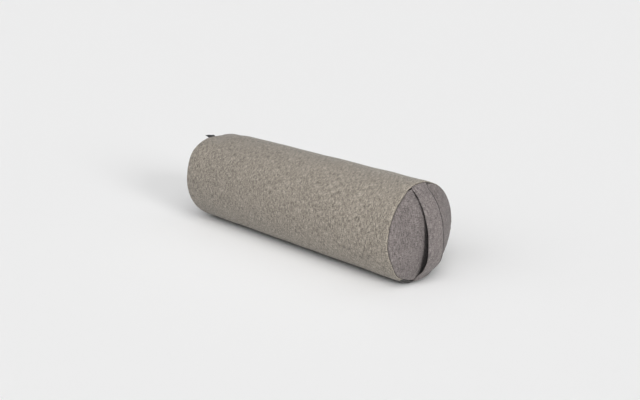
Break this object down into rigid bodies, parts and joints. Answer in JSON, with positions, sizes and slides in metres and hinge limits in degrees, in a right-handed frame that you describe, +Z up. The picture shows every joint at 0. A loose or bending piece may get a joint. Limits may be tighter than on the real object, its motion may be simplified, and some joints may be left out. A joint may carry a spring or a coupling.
{
  "type": "meditation bolster",
  "caption": "Round stuffed bolster in a heathered cloth cover with domed end panels, a carry handle across one end and a zip along the back.",
  "frame": {"origin": "centre of the bounding box in plan, on the flat underside", "axes": "+X along the bolster towards the end with the handle, +Z up, +Y towards the side with the zip"},
  "size_m": [0.7222, 0.2201, 0.216],
  "materials": {
    "body_fabric": "heathered plain weave, warm grey with light and dark slubs",
    "end_fabric": "smooth plain weave, mauve grey",
    "zip_tape": "woven tape",
    "zip_coil": "nylon coil",
    "zip_metal": "satin nickel plate",
    "label_ribbon": "black woven ribbon, blank",
    "calico": "unbleached cotton",
    "fibre": "loose fibre"
  },
  "bodies": {
    "cover": {"cover_body_panel": "body_fabric", "end_panel_handle_side": "end_fabric", "end_panel_label_side": "end_fabric", "handle_top_end": "end_fabric", "handle_bottom_end": "end_fabric", "label_tail": "label_ribbon", "zip_tape_upper": "zip_tape", "zip_tape_lower": "zip_tape", "zip_coil_upper": "zip_coil", "zip_coil_lower": "zip_coil", "zip_top_stop_upper": "zip_metal", "zip_top_stop_lower": "zip_metal", "zip_bottom_stop": "zip_metal", "liner_tube": "calico", "liner_end_handle_side": "calico", "liner_end_label_side": "calico", "fibre_filling": "fibre"},
    "handle": {"handle_grip": "end_fabric"},
    "slider": {"zip_slider": "zip_metal"},
    "pull": {"zip_pull": "zip_metal"},
    "label": {"label_flap": "label_ribbon"}
  },
  "joints": [
    {"name": "handle_lift", "type": "slide", "parent": "cover", "child": "handle", "axis": [1, 0, 0], "range_m": [-0.0035, 0.012], "stiffness_N_per_m": 60},
    {"name": "zip_run", "type": "slide", "parent": "cover", "child": "slider", "axis": [1, 0, 0], "range_m": [0, 0.5]},
    {"name": "pull_swing", "type": "hinge", "parent": "slider", "child": "pull", "pos_m": [-0.2566, 0.10175, 0.15618], "axis": [0, -0.4423, 0.8969], "range_deg": [0, 176]},
    {"name": "label_bend", "type": "hinge", "parent": "cover", "child": "label", "pos_m": [-0.33566, -0.02162, 0.20437], "axis": [0, -1, 0], "range_deg": [-60, 65], "stiffness_Nm_per_rad": 0.002}
  ]
}
